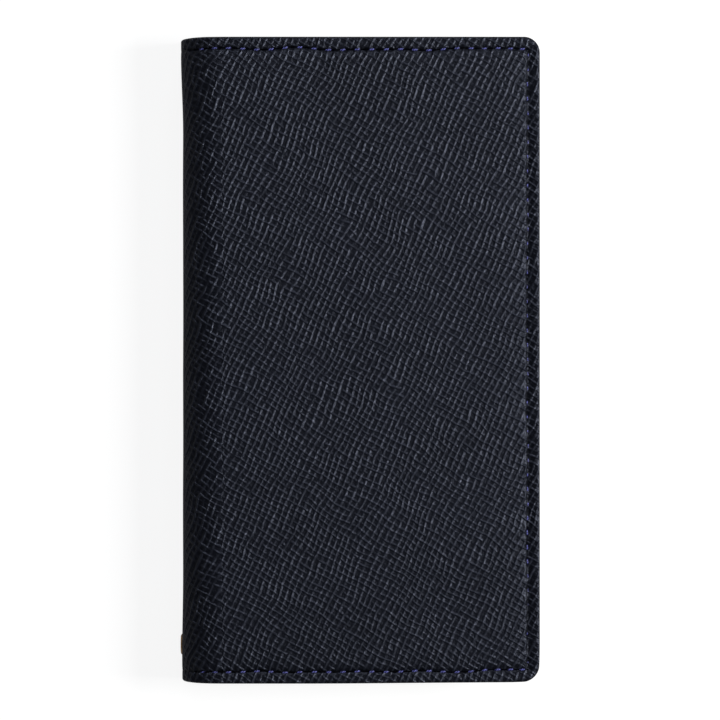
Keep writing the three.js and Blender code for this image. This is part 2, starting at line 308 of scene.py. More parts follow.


# %% [markdown]
# The two families become one height: the higher of the two wins, and where they cross a knot
# stands up. That height then drives three things. It is the bump; it chooses between the dark dye
# and the lighter ridge tops, which stand partly for rubbed leather and partly for a painted highlight
# of the light that rakes the ridges; and it makes the tops a little glossier.

# %% The leather from its ridges
def leather_material(name, ground, worn, follow_skin, roughness=0.34):
    """Cross-grain leather. ground is the dye's colour, and worn is the ridge tops' colour: part rubbed
    leather, part painted highlight.
    """
    material, tree, shader = new_material(name, roughness, IOR=1.46)
    shader.inputs["Specular Tint"].default_value = linear("#dde5ff")
    if follow_skin:
        # skin_mm holds millimetres across, millimetres along, and the distance in from the seam
        stored = node(tree, "ShaderNodeAttribute", attribute_name="skin_mm")
        skin = node(tree, "ShaderNodeSeparateXYZ", {0: stored.outputs["Vector"]})
        coords = node(tree, "ShaderNodeCombineXYZ", {0: skin.outputs[0], 1: skin.outputs[1]}).outputs[0]
    else:
        coords = object_mm(tree)
    drift = node(tree, "ShaderNodeTexNoise", {"Vector": coords, "Scale": 0.08, "Detail": 2.0,
                                              "Roughness": 0.45})
    centred = node(tree, "ShaderNodeVectorMath", {0: drift.outputs["Color"], 1: (0.5, 0.5, 0.5)},
                   operation="SUBTRACT")
    wander = node(tree, "ShaderNodeVectorMath", {0: centred.outputs[0], "Scale": line_wander},
                  operation="SCALE")
    warped = node(tree, "ShaderNodeVectorMath", {0: coords, 1: wander.outputs[0]}).outputs[0]

    steep = ridges(tree, warped, steep_ridges, 0.0)
    flat = ridges(tree, warped, flat_ridges, 7.0)
    net = node(tree, "ShaderNodeMath", {0: steep, 1: flat}, operation="MAXIMUM").outputs[0]
    knots = node(tree, "ShaderNodeMath", {0: steep, 1: flat}, operation="MULTIPLY").outputs[0]
    raised = node(tree, "ShaderNodeMath", {0: knots, 1: knot_rise, 2: net},
                  operation="MULTIPLY_ADD").outputs[0]
    pores = node(tree, "ShaderNodeTexNoise", {"Vector": coords, "Scale": 2.6, "Detail": 3.0,
                                              "Roughness": 0.65})
    height = node(tree, "ShaderNodeMath", {0: pores.outputs[0], 1: pore_rise, 2: raised},
                  operation="MULTIPLY_ADD")

    speckled = node(tree, "ShaderNodeMath", {0: pores.outputs[0], 1: 0.45, 2: raised},
                    operation="MULTIPLY_ADD")
    tone = node(tree, "ShaderNodeMapRange", {"Value": speckled.outputs[0],
                                             "From Min": 0.15, "From Max": 1.25})
    # painted highlight: the lighter ridge-top colour stands partly for rubbed leather and partly for the
    # light that the ridges catch
    dye_wear_and_painted_highlight = node(tree, "ShaderNodeMix", {0: tone.outputs[0], 6: linear(ground), 7: linear(worn)},
                data_type="RGBA")
    patches = node(tree, "ShaderNodeTexNoise", {"Vector": coords, "Scale": 0.05, "Detail": 2.0})
    patchy_tone_and_groove_shade = node(tree, "ShaderNodeMapRange", {"Value": patches.outputs[0], "From Min": 0.3, "From Max": 0.7,
                                              "To Min": 0.88, "To Max": 1.12}).outputs[0]
    if follow_skin:
        # painted shade: the colour is darkened in the seam's groove, most where the thread pulls the leather
        # down, for the shadow that the groove holds
        near = node(tree, "ShaderNodeMath", {0: skin.outputs[2]}, operation="ABSOLUTE")
        painted_groove_shade = node(tree, "ShaderNodeMapRange", {"Value": near.outputs[0],
                                                    "From Min": 0.05, "From Max": 0.40,
                                                    "To Min": 0.25, "To Max": 1.0},
                       interpolation_type="SMOOTHSTEP")
        patchy_tone_and_groove_shade = node(tree, "ShaderNodeMath", {0: patchy_tone_and_groove_shade, 1: painted_groove_shade.outputs[0]},
                     operation="MULTIPLY").outputs[0]
    colour = node(tree, "ShaderNodeVectorMath", {0: dye_wear_and_painted_highlight.outputs[2], "Scale": patchy_tone_and_groove_shade}, operation="SCALE")
    tree.links.new(colour.outputs[0], shader.inputs["Base Color"])
    gloss = node(tree, "ShaderNodeMapRange", {"Value": raised, "To Min": roughness + 0.02,
                                              "To Max": roughness - 0.02})
    tree.links.new(gloss.outputs[0], shader.inputs["Roughness"])
    add_bump(tree, shader, height.outputs[0], grain_height)
    return material


# the second colour of each leather is its ridge tops: partly rubbed, partly a painted highlight
cover_leather = leather_material("cross_grain_cowhide", "#080910", "#2c2f39", follow_skin=True)
leaf_leather = leather_material("cross_grain_pocket_leather", "#0e0f14", "#2e313a", follow_skin=False)
print("materials", [m.name for m in bpy.data.materials])


# %% [markdown]
# ## The other finishes
# Each finish starts from what it is made of: its index of refraction or its metal first, then its
# roughness, and only then a pattern. The cut edges of the leather are sealed with acrylic paint,
# which is smooth and half glossy, with faint lines along the edge from the roller.

# %% Edge paint
def edge_paint_material():
    """Acrylic edge paint over a leather edge: violet grey, with the brush's faint lengthwise lines."""
    material, tree, shader = new_material("acrylic_edge_paint", 0.38, IOR=1.49)
    strokes = node(tree, "ShaderNodeMapping", {"Vector": object_mm(tree), "Scale": (0.25, 0.25, 3.5)})
    lines = node(tree, "ShaderNodeTexNoise", {"Vector": strokes.outputs[0], "Scale": 1.0, "Detail": 3.0})
    two_tone(tree, shader, lines.outputs[0], "#1b1c26", "#2c2e3b", 0.3, 0.7)
    add_bump(tree, shader, lines.outputs[0], 0.05 * mm)
    return material


# %% [markdown]
# The lining is a microfibre suede, whose nap scatters light at grazing angles. That is a job for
# the shader's sheen: roughness alone would leave it looking like rubber.

# %% Suede
def suede_material():
    """Microfibre suede: fibre clumps of about 0.8 mm, and slow hand marks where the nap lies over."""
    material, tree, shader = new_material("microfibre_suede", 0.92, Sheen_Weight=0.35, Sheen_Roughness=0.45)
    shader.inputs["Sheen Tint"].default_value = linear("#8a90a4")
    coords = object_mm(tree)
    clumps = node(tree, "ShaderNodeTexNoise", {"Vector": coords, "Scale": 1.3, "Detail": 4.0,
                                               "Roughness": 0.7})
    marks = node(tree, "ShaderNodeTexNoise", {"Vector": coords, "Scale": 0.06, "Detail": 2.0})
    mixed = node(tree, "ShaderNodeMath", {0: clumps.outputs[0], 1: 0.55}, operation="MULTIPLY")
    nap = node(tree, "ShaderNodeMath", {0: marks.outputs[0], 1: 0.45, 2: mixed.outputs[0]},
               operation="MULTIPLY_ADD")
    two_tone(tree, shader, nap.outputs[0], "#15171d", "#2d3038", 0.35, 0.65)
    add_bump(tree, shader, clumps.outputs[0], 0.10 * mm)
    return material


# %% [markdown]
# The shell is thermoplastic urethane from a spark-eroded mould, so it has a very fine even texture.
# Its gloss drifts a little, because the melt cools faster in some places than in others.

# %% Moulded urethane
def urethane_material():
    """Moulded urethane: black, even, with a spark-eroded texture of about 0.25 mm drawn at 0.5 mm."""
    material, tree, shader = new_material("moulded_urethane", 0.52, IOR=1.5)
    coords = object_mm(tree)
    sparks = node(tree, "ShaderNodeTexNoise", {"Vector": coords, "Scale": 2.0, "Detail": 3.0,
                                               "Roughness": 0.6})
    flow = node(tree, "ShaderNodeTexNoise", {"Vector": coords, "Scale": 0.05, "Detail": 1.0})
    two_tone(tree, shader, sparks.outputs[0], "#111215", "#1a1b1f", 0.3, 0.7)
    sheen = node(tree, "ShaderNodeMapRange", {"Value": flow.outputs[0], "From Min": 0.3, "From Max": 0.7,
                                              "To Min": 0.46, "To Max": 0.58})
    tree.links.new(sheen.outputs[0], shader.inputs["Roughness"])
    add_bump(tree, shader, sparks.outputs[0], 0.03 * mm)
    return material


# %% [markdown]
# The eyelet is brass that has aged: brown in the hollows, brighter where it is handled. One noise
# sets both its colour and its roughness, so that the dull patches are also the dark ones.

# %% Brass
def brass_material():
    """Aged brass: brown tarnish in patches of a few tenths of a millimetre, brighter on the crown."""
    material, tree, shader = new_material("aged_brass", 0.32, metallic=1.0)
    coords = object_mm(tree)
    tarnish = node(tree, "ShaderNodeTexNoise", {"Vector": coords, "Scale": 1.4, "Detail": 4.0,
                                                "Roughness": 0.6})
    two_tone(tree, shader, tarnish.outputs[0], "#a06e3c", "#edc48c", 0.30, 0.60)
    dulled = node(tree, "ShaderNodeMapRange", {"Value": tarnish.outputs[0],
                                               "From Min": 0.35, "From Max": 0.65,
                                               "To Min": 0.45, "To Max": 0.24})
    tree.links.new(dulled.outputs[0], shader.inputs["Roughness"])
    add_bump(tree, shader, tarnish.outputs[0], 0.02 * mm)
    return material


# %% [markdown]
# What is buried in the covers is hardly ever seen. Those finishes share one recipe, two tones in
# spots, and differ in colour, in gloss and in the size of the spots.

# %% The buried finishes
def speckled_material(name, dark, light, spot_mm, depth, roughness, metallic=0.0):
    """A plain finish for what is buried in the covers: two tones in spots of a given size."""
    material, tree, shader = new_material(name, roughness, metallic)
    spots = node(tree, "ShaderNodeTexNoise", {"Vector": object_mm(tree), "Scale": 1 / spot_mm,
                                              "Detail": 4.0})
    two_tone(tree, shader, spots.outputs[0], dark, light, 0.35, 0.65)
    add_bump(tree, shader, spots.outputs[0], depth)
    return material


edge_paint = edge_paint_material()
suede = suede_material()
urethane = urethane_material()
brass = brass_material()
# grey board: pressed waste paper, with pale and dark fibres
grey_board = speckled_material("pressed_grey_board", "#5f5a53", "#807a70", 0.8, 0.05 * mm, 0.9)
# polyurethane foam: open cells about half a millimetre across
foam = speckled_material("open_cell_foam", "#2a2a2c", "#4a4a4d", 0.5, 0.2 * mm, 1.0)
# acrylic foam tape: milky, slightly glossy
tape = speckled_material("acrylic_foam_tape", "#bdbab2", "#d2cfc7", 2.0, 0.02 * mm, 0.55)
# zinc on steel: a passivated plate, grey with a faint spangle
zinc = speckled_material("zinc_plated_steel", "#7f8286", "#a2a5a9", 1.5, 0.01 * mm, 0.4, metallic=1.0)
# nickel on sintered magnets: warm grey and bright
nickel = speckled_material("nickel_plated_magnet", "#8c8a84", "#b3b0a8", 3.0, 0.005 * mm, 0.25,
                           metallic=1.0)
print("materials", len(bpy.data.materials))


# %% [markdown]
# ## Folds
# The leather crosses two folds, and each fold is a joint of its own. Each fold is given its two
# bodies and a start and an end on slanted lines, so that the leather, the painted edge and the
# lining, which lie at different depths, would all stop turning where the stiff boards begin. The
# pieces that cross a fold only have their placement baked in; none is bent between the bodies.

# %% The two folds
Fold = namedtuple("Fold", "up reach fall rim bodies start end")
# up is the side of the case, reach and fall are the curve's half-axes in X and Z, and rim is how
# far the leather's edge is turned down at the border of the cover
front = Fold(1, 9.0 * mm, 6.5 * mm, top_z - skin_low[2], ("spine", "front_cover"),
             (spine_x + 1.2 * mm, 0, top_z - 5.0 * mm), (spine_x + 4.25 * mm, 0, top_z - 1.95 * mm))
back = Fold(-1, 7.0 * mm, 6.5 * mm, leather, ("back_cover", "spine"),
            (spine_x + 4.6 * mm, 0, 1.5 * mm), (spine_x + 1.25 * mm, 0, 4.85 * mm))


def bend(piece):
    """Bakes a piece's placement into its mesh; it doesn't bend the piece or tie it to a body."""
    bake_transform(piece)


# %% [markdown]
# Every layer of a cover has the same section: up the spine, round the fold and out to the fore
# edge. It is worked out once, as rows of points with the distance travelled along them, and each
# layer takes it a little further in. What the making does to the shape, such as a flare at the
# spine's ends, is then put on all layers alike, so that none of them comes through another.

# %% The section from the middle of the spine to the fore edge
def section(fold, side_inset=0.0, face_inset=0.0, step=0.7 * mm):
    """Rows of x, z and outward direction, and the travel along them, as far as the fore corner's
    centre. The insets give an inner layer, and the rows of two layers correspond."""
    wide, tall = fold.reach - side_inset, fold.fall - face_inset
    centre_x = spine_x + fold.reach
    centre_z = top_z - fold.fall if fold.up > 0 else fold.fall
    core_x = fore_x - corner_radius
    climb = centre_z - middle_z
    face = centre_z + fold.up * tall
    rows = [(spine_x + side_inset, middle_z + climb * t, -1.0, 0.0)
            for t in np.linspace(0, 1, round(abs(climb) / step) + 1)[:-1]]
    for angle in np.linspace(0, math.pi / 2, round((fold.reach + fold.fall) * 0.8 / step))[:-1]:
        nx, nz = -math.cos(angle) * tall, math.sin(angle) * wide
        size = math.hypot(nx, nz)
        rows.append((centre_x - wide * math.cos(angle), centre_z + fold.up * tall * math.sin(angle),
                     nx / size, fold.up * nz / size))
    rows += [(x, face, 0.0, float(fold.up))
             for x in np.linspace(centre_x, core_x, round((core_x - centre_x) / step) + 1)]
    rows = np.array(rows)
    travel = np.concatenate([[0], np.cumsum(np.hypot(*np.diff(rows[:, :2], axis=0).T))])
    return rows, travel


# how far the spine's ends stand out and are drawn in, each at the head and at the tail
spine_flare = (0.54 * mm, 0.20 * mm)
spine_draw = (0.26 * mm, 0.22 * mm)
corner_wear = 0.22 * mm
wear_reach = 4.5 * mm
# the tail isn't cut quite square: how far it is in from its line near the spine and at the fore edge
tail_skew = (-0.10 * mm, 0.22 * mm)


def eased(share):
    """A share held between 0 and 1, with both of its ends eased."""
    share = np.clip(share, 0, 1)
    return share * share * (3 - 2 * share)


def settle(points):
    """Moves points as the making and the use of the case have moved its layers."""
    points = np.array(points, float)
    head = points[:, 1] > 0
    near = eased(1 - (points[:, 0] - spine_x) / (12 * mm))
    away = 1 - eased((half_y - np.abs(points[:, 1]) - 3 * mm) / (21 * mm))
    points[:, 0] -= near * np.where(head, *spine_flare) * away
    droop = np.exp(-np.maximum(points[:, 0] - spine_x, 0) / (3.5 * mm))
    points[:, 1] *= 1 - near * droop * np.where(head, *spine_draw) / half_y
    # the tail's fore corner is the one that a thumb opens, so it is worn rounder
    gap = np.hypot(points[:, 0] - fore_x, points[:, 1] + half_y)
    worn = corner_wear * np.exp(-(gap / wear_reach) ** 2)
    points[:, 0] -= worn
    points[:, 1] += worn
    by_spine, by_fore = tail_skew
    skew = by_spine + (by_fore - by_spine) * eased((points[:, 0] + 15 * mm) / (55 * mm))
    points[:, 1] += np.where(head, 0.0, skew) * -points[:, 1] / half_y
    return points


# %% [markdown]
# ## A sheet that follows the case
# Leather and lining alike are sheets that run from the middle of the spine, round a fold and out
# to the fore edge. In section the fold is a quarter of an ellipse, because leather over a board's
# end bends slowly and never to a sharp corner. One function lays such a sheet as a grid with a
# true thickness. At the fore corners the grid's square corner is drawn in to a round one, so the
# rows of faces stay clean and the edge can be rounded over.
#
# The seam pulls the leather down into a groove, and the foam behind it swells inside the line. That
# relief is a function of the distance in from the seam, with a slow unevenness added, so the same
# call shapes the front, the back and the spine. A displacement texture would do it too, but a
# formula keeps the groove exactly under the stitches.

# %% The leather's relief round the seam
swell = 0.38 * mm
rim_drop = 0.08 * mm
unevenness = 0.12 * mm
Groove = namedtuple("Groove", "depth inner outer rise")
# inner and outer are the widths of the groove's two flanks, and rise is how far in from the seam
# the foam takes to come up to its height
end_groove = Groove(0.55 * mm, 0.42 * mm, 0.28 * mm, 1.6 * mm)
fore_groove = Groove(0.74 * mm, 0.22 * mm, 1.3 * mm, 3.2 * mm)


def seam_wander(along, seed):
    """How far the needle strays from the straight line, at a place along the seam."""
    return 0.55 * mm * noise.noise(Vector((along / (8 * mm), seed, 0.5)))


def fore_wander(y):
    """The same along the fore edge, where the edge itself guides the needle straighter."""
    return 0.4 * seam_wander(y, 3.0)


def seam_distances(x, y):
    """How far a point lies inside the seam along the fore edge, and inside the one along its end."""
    side = 1.0 if y > 0 else 2.0
    return (fore_x - seam_from_fore - x - fore_wander(y),
            half_y - seam_from_end - abs(y) - seam_wander(x, side))


def dent(distance, depth, width):
    """The groove's section: its depth at a distance from the seam."""
    return depth * math.exp(-(abs(distance) / width) ** 1.5)


def relief(fold, x, y, seed):
    """How far the surface stands off the plain sheet at a place on the cover."""
    fore, end = seam_distances(x, y)
    # only the front has foam; the back lies flat on the table, so its swelling ends at the fold
    foam = 1.0 if fold.up > 0 else max(0.0, 1 - (x - spine_x) / fold.reach)
    rise = swell * foam
    # the thread is slack where it crosses the spine, so the groove fades out there
    pull = min(1.0, 0.1 + (x - spine_x) / (3.0 * mm))
    slow = noise.noise(Vector((x / (21 * mm), y / (26 * mm), seed))) * unevenness * foam
    if fore >= 0 and end >= 0:
        groove = max(dent(end, end_groove.depth, end_groove.inner),
                     dent(fore, fore_groove.depth, fore_groove.inner))
        full = (1 - math.exp(-end / end_groove.rise)) * (1 - math.exp(-fore / fore_groove.rise))
        return rise * (1 - pull + pull * full) - pull * groove + slow
    # outside the seam there is only the rim, which the groove's outer flank climbs to
    seam, distance = (end_groove, end) if end < fore else (fore_groove, fore)
    groove = dent(distance, seam.depth - rim_drop, seam.outer)
    return rise * (1 - pull) - pull * (rim_drop + groove) + slow


# %% [markdown]
# A sheet is a closed mesh: an outer grid, an inner grid a thickness below it, and side walls. The
# edge is rounded over by stations, which are steps out from the corner's centre that also go down.
# Solidify and Bevel modifiers could add both, but they can't turn the rim down over the stack.

# %% Meshes from points
def finish_mesh(name, vertices, faces, material, smooth_angle=40):
    """Makes the mesh, drops faces that closed up to nothing, and turns every face outward."""
    mesh = bpy.data.meshes.new(name)
    mesh.from_pydata([tuple(map(float, v)) for v in vertices], [], faces)
    work = bmesh.new()
    work.from_mesh(mesh)
    bmesh.ops.remove_doubles(work, verts=work.verts, dist=1e-7)
    bmesh.ops.dissolve_degenerate(work, edges=work.edges, dist=1e-8)
    bmesh.ops.recalc_face_normals(work, faces=work.faces)
    work.to_mesh(mesh)
    work.free()
    mesh.materials.append(material)
    made = bpy.data.objects.new(name, mesh)
    bpy.context.collection.objects.link(made)
    mesh.shade_smooth()
    mesh.set_sharp_from_angle(angle=math.radians(smooth_angle))
    return made


# the rows are this much closer near the rim, where the corner is round
rim_fineness = 0.36


def rim_stations(thickness, rounding, step):
    """Distances out from the corner's centre and drops below the face, over the rounded edge."""
    flat = corner_radius - rounding
    stations = [(r, 0.0) for r in np.linspace(0, flat, max(2, round(flat / step)) + 1)[1:]]
    for angle in np.linspace(0, math.pi / 2, 6)[1:]:
        stations.append((flat + rounding * math.sin(angle), rounding * (1 - math.cos(angle))))
    return stations + [(corner_radius, thickness)]


# %% Lay a sheet on the case
def lay_sheet(name, material, fold, side_inset, face_inset, thickness, rim, rounding, step, seed=None):
    """A closed sheet from mid-spine to the fore edge. A seed turns the leather's relief on."""
    rows, _ = section(fold, side_inset, face_inset, step)
    stations = rim_stations(rim, rounding, step * rim_fineness)
    last = len(stations) - 1
    core_x, core_y = fore_x - corner_radius, half_y - corner_radius
    face = rows[-1, 1]
    columns = [(-core_y, k, -1) for k in range(last, -1, -1)]
    columns += [(y, None, 0) for y in np.linspace(-core_y, core_y, round(2 * core_y / step) + 1)]
    columns += [(core_y, k, 1) for k in range(last + 1)]
    count_a, count_b = len(rows) + last + 1, len(columns)

    def place(i, j):
        """The point on the face, its outward direction, its drop and the sheet's depth there."""
        y, kb, side = columns[j]
        if i < len(rows):
            x, z, nx, nz = rows[i]
            if kb is None:
                return x, y, z, nx, nz, 0.0, thickness
            depth = thickness + (rim - thickness) * min(1, max(0, (x - board_x) / (2 * mm)))
            out, drop = stations[kb]
            return x, y + side * out, z, nx, nz, depth if kb == last else drop, depth
        ka = i - len(rows)
        k = ka if kb is None else max(ka, kb)
        out, drop = stations[k]
        if kb is None:
            return core_x + out, y, face, 0.0, fold.up, drop, rim
        # the corner: the square of stations is drawn in to a quarter disc
        turn = (min(ka, kb) + 1) / (k + 1) * math.pi / 4
        if kb > ka:
            turn = math.pi / 2 - turn
        x, y = core_x + out * math.cos(turn), y + side * out * math.sin(turn)
        return x, y, face, 0.0, fold.up, drop, rim

    vertices, outer, inner = [], {}, {}
    for i in range(count_a):
        for j in range(count_b):
            x, y, z, nx, nz, drop, depth = place(i, j)
            lift = -drop
            if seed is not None:
                lift += relief(fold, x, y, seed) * max(0.0, 1 - drop / rounding)
            outer[i, j] = inner[i, j] = len(vertices)
            vertices.append((x + nx * lift, y, z + nz * lift))
            if 0 < j < count_b - 1 and i < count_a - 1:
                inner[i, j] = len(vertices)
                vertices.append((x - nx * depth, y, z - nz * depth))
    faces = []
    for i in range(count_a - 1):
        for j in range(count_b - 1):
            faces.append([outer[i, j], outer[i + 1, j], outer[i + 1, j + 1], outer[i, j + 1]])
            faces.append([inner[i, j], inner[i, j + 1], inner[i + 1, j + 1], inner[i + 1, j]])
    faces += [[outer[0, j + 1], inner[0, j + 1], inner[0, j], outer[0, j]] for j in range(count_b - 1)]
    return finish_mesh(name, settle(vertices), faces, material)


# %% [markdown]
# Holes are cut with a boolean once a sheet is closed. The pattern's coordinates are stored
# afterwards, from each point's own place on the section, so that new points get true ones too.

# %% Outlines, cutters and booleans
def circle(centre_a, centre_b, radius, count=40):
    """Points on a circle, in any two axes."""
    return [(centre_a + radius * math.cos(t), centre_b + radius * math.sin(t))
            for t in np.linspace(0, 2 * math.pi, count, endpoint=False)]


def rounded_rectangle(low_a, low_b, high_a, high_b, radius, per_corner=9):
    """Points on a rectangle with round corners, in any two axes."""
    centres = [(high_a - radius, high_b - radius), (low_a + radius, high_b - radius),
               (low_a + radius, low_b + radius), (high_a - radius, low_b + radius)]
    return [(a + radius * math.cos(t), b + radius * math.sin(t))
            for quarter, (a, b) in enumerate(centres)
            for t in np.radians(np.linspace(90 * quarter, 90 * quarter + 90, per_corner))]


def loft(name, rings, material, closed=False, smooth_angle=40):
    """Joins rings of points, each a closed loop, into one closed skin."""
    count, size = len(rings), len(rings[0])
    faces = []
    for i in range(count if closed else count - 1):
        here, there = i * size, (i + 1) % count * size
        faces += [[here + k, here + (k + 1) % size, there + (k + 1) % size, there + k]
                  for k in range(size)]
    if not closed:
        faces += [list(range(size)), list(range((count - 1) * size, count * size))]
    return finish_mesh(name, [p for ring in rings for p in ring], faces, material, smooth_angle)


def baked(made):
    """Applies the modifiers of a piece: its evaluated mesh becomes its own."""
    graph = bpy.context.evaluated_depsgraph_get()
    mesh = bpy.data.meshes.new_from_object(made.evaluated_get(graph))
    made.modifiers.clear()
    made.data = mesh
    mesh.name = made.name
    return made


def cut(made, *cutters):
    """Takes the cutters' shapes out of a piece."""
    for cutter in cutters:
        boolean = made.modifiers.new("cut", "BOOLEAN")
        boolean.operation = "DIFFERENCE"
        boolean.solver = "EXACT"
        boolean.object = cutter
    return baked(made)


# %% Store the developed coordinates
def store_skin_coordinates(made, fold):
    """Writes skin_mm on each point: how far it is round the section from mid-spine, how far along
    the case, and how far in from the seam, all in millimetres."""
    rows, travel = section(fold, step=0.25 * mm)
    flat_x = spine_x + fold.reach
    bent = rows[:, 0] < flat_x
    flat_travel = travel[np.count_nonzero(bent)]
    points = np.empty(len(made.data.vertices) * 3)
    made.data.vertices.foreach_get("co", points)
    points = points.reshape(-1, 3)
    across = flat_travel + points[:, 0] - flat_x
    for some in np.array_split(np.flatnonzero(points[:, 0] < flat_x), 20):
        gap = np.hypot(points[some, 0, None] - rows[None, bent, 0],
                       points[some, 2, None] - rows[None, bent, 1])
        across[some] = travel[np.argmin(gap, axis=1)]
    inside = [min(seam_distances(x, y)) for x, y, _ in points]
    values = np.stack([fold.up * across, points[:, 1], inside], axis=1) / mm
    attribute = made.data.attributes.new("skin_mm", "FLOAT_VECTOR", "POINT")
    attribute.data.foreach_set("vector", values.astype(np.float32).ravel())


# %% [markdown]
# ## The cover leather
# One hide wraps the whole case. It crosses two folds, so the skin is made as two pieces that meet
# at the middle of the spine: the front one is laid round the upper fold and the back one round the
# lower fold. The grain runs on from one to the other, and the eyelet's hole and the camera window
# are cut through.

# %% Front and back skins
cell = 0.72 * mm
eyelet_y, eyelet_z = (eyelet_low[1] + eyelet_high[1]) / 2, (eyelet_low[2] + eyelet_high[2]) / 2
barrel_hole = 2.0 * mm
# the window is 37 mm in the shell, and 1 mm larger on each side in the sheets behind it
window_size, window_radius, window_step = 37.0 * mm, 9.0 * mm, 1.0 * mm
window_right = shell_high[0] - 5.7 * mm
window_top = shell_high[1] - 4.0 * mm


def window_outline(grow, per_corner=9):
    """The camera window's outline, as much larger than the shell's on each side as it is told."""
    size = window_size + grow
    return rounded_rectangle(window_right - size, window_top - size, window_right + grow,
                             window_top + grow, window_radius + grow, per_corner)


barrel_cutter = loft("barrel_cutter", [[(x, y, z) for y, z in circle(eyelet_y, eyelet_z, barrel_hole)]
                                       for x in (spine_x - 4 * mm, spine_x + 6 * mm)], None)
window_cutter = loft("window_cutter", [[(x, y, z) for x, y in window_outline(window_step)]
                                       for z in (-2 * mm, 3.5 * mm)], None)

# the front's edge is turned down over the foam, so it is rounder than the back's
front_rounding = 0.7 * mm
back_rounding = 0.4 * mm
front_skin = lay_sheet("front_cover_leather", cover_leather, front, 0, 0, leather, front.rim,
                       front_rounding, cell, seed=3.0)
cut(front_skin, barrel_cutter)
back_skin = lay_sheet("back_cover_leather", cover_leather, back, 0, 0, leather, back.rim,
                      back_rounding, cell, seed=8.0)
cut(back_skin, barrel_cutter, window_cutter)
for skin, fold in ((front_skin, front), (back_skin, back)):
    store_skin_coordinates(skin, fold)
    bend(skin)
    print(skin.name, len(skin.data.vertices), "vertices,", len(skin.data.polygons), "faces")
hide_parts("front_outer_leather", "upper_fold_leather")
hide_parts("back_outer_leather", "lower_fold_leather", "spine_outer_leather")

# %% [markdown]
# ## The lining
# Microfibre suede is glued over the inside of the boards and goes round both folds with the
# leather. It is a sheet like the leather but thinner and smooth, so the same function lays it.

# %% Front and back linings
front_depth = top_z - lining_high[2]
back_depth = back_lining_low[2]
side_depth = spine_lining_low[0] - spine_x


def lay_lining(name, fold, depth, cutters, replaced):
    """Glues a lining in at a depth below the leather's face, and works out its length round the section,
    which nothing uses.
    """
    made = lay_sheet(name, suede, fold, side_depth, depth, lining_thickness, lining_thickness,
                     0.12 * mm, 1.1 * mm)
    cut(made, *cutters)
    bend(made)
    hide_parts(*replaced)
    _, travel = section(fold, side_depth, depth)


lay_lining("front_lining_suede", front, front_depth, [barrel_cutter], ["front_lining", "spine_lining"])
lay_lining("back_lining_suede", back, back_depth, [barrel_cutter, window_cutter], ["back_lining"])


# %% [markdown]
# ## Painted edges
# Between the leather and the lining the stack of board and foam would show at the head, the fore
# edge and the tail. The maker seals it with edge paint, which fills the steps and stays slightly
# wavy. It is one band with a small bulging section, swept round three sides of each cover and on
# over the folds, with its two rims on the same curves as the leather and the lining.

# %% Sweep the bands
# each pair is a share of the way from the leather to the lining, and how proud the paint stands
band_section = [(0.0, 0.01), (0.10, 0.05), (0.22, 0.02), (0.34, 0.06), (0.52, 0.07), (0.66, 0.03),
                (0.80, 0.06), (0.93, 0.04), (1.0, -0.02), (1.0, -0.45), (0.0, -0.45)]
# the paint reaches this far over the leather and the lining that it joins
paint_lap = 0.05 * mm


def lay_band(name, fold, side_inset, face_inset):
    """Sweeps the paint's section round the head, the fore edge and the tail of a cover."""
    skin, _ = section(fold, step=1.2 * mm)
    lining, _ = section(fold, side_inset, face_inset, step=1.2 * mm)
    over_board = np.clip((skin[:, 0] - board_x) / (2 * mm), 0, 1)
    turned_down = leather + (fold.rim - leather) * over_board - paint_lap
    outer = skin[:, :2] - skin[:, 2:] * turned_down[:, None]
    inner = lining[:, :2]
    core_x, core_y = fore_x - corner_radius, half_y - corner_radius

    stations = [(outer[i], inner[i], -half_y, (0.0, -1.0)) for i in range(len(outer) - 1)]
    for centre_y, start in ((-core_y, -90), (core_y, 0)):
        for t in np.radians(np.linspace(start, start + 90, 9)):
            shift = np.array([corner_radius * math.cos(t), 0.0])
            y = centre_y + corner_radius * math.sin(t)
            stations.append((outer[-1] + shift, inner[-1] + shift, y, (math.cos(t), math.sin(t))))
        if start == -90:
            edge = np.array([corner_radius, 0.0])
            stations += [(outer[-1] + edge, inner[-1] + edge, y, (1.0, 0.0))
                         for y in np.linspace(-core_y, core_y, 90)[1:-1]]
    stations += [(outer[i], inner[i], half_y, (0.0, 1.0)) for i in range(len(outer) - 2, -1, -1)]

    rings = []
    for a, b, y, (ox, oy) in stations:
        ring = []
        for share, proud in band_section:
            x, z = a + (b - a) * share
            ring.append((x + ox * proud * mm, y + oy * proud * mm, z))
        rings.append(ring)
    made = loft(name, [settle(ring) for ring in rings], edge_paint)
    bend(made)
    print(name, len(made.data.polygons), "faces")


for name, fold, depth in (("front_edge_paint", front, front_depth), ("back_edge_paint", back, back_depth)):
    lay_band(name, fold, side_depth + lining_thickness - paint_lap, depth + lining_thickness - 0.02 * mm)


# %% [markdown]
# ## Stitches
# Thick thread holds the layers together, about 3.4 mm a stitch, a little inside the edge. Each stitch is
# a short tube that rises out of one needle hole and dives into the next, at a slight slant, as a
# lockstitch does. The seam's needle holes are a row of points, and a Geometry Nodes tree puts one
# stitch on each stretch between them and, on each point, a dark bead of painted shade for the hole.
# Modelling every stitch by hand would give the same picture, but nobody could change the pitch
# afterwards. The thread is bonded polyester, which is why it shines a little and doesn't fray.

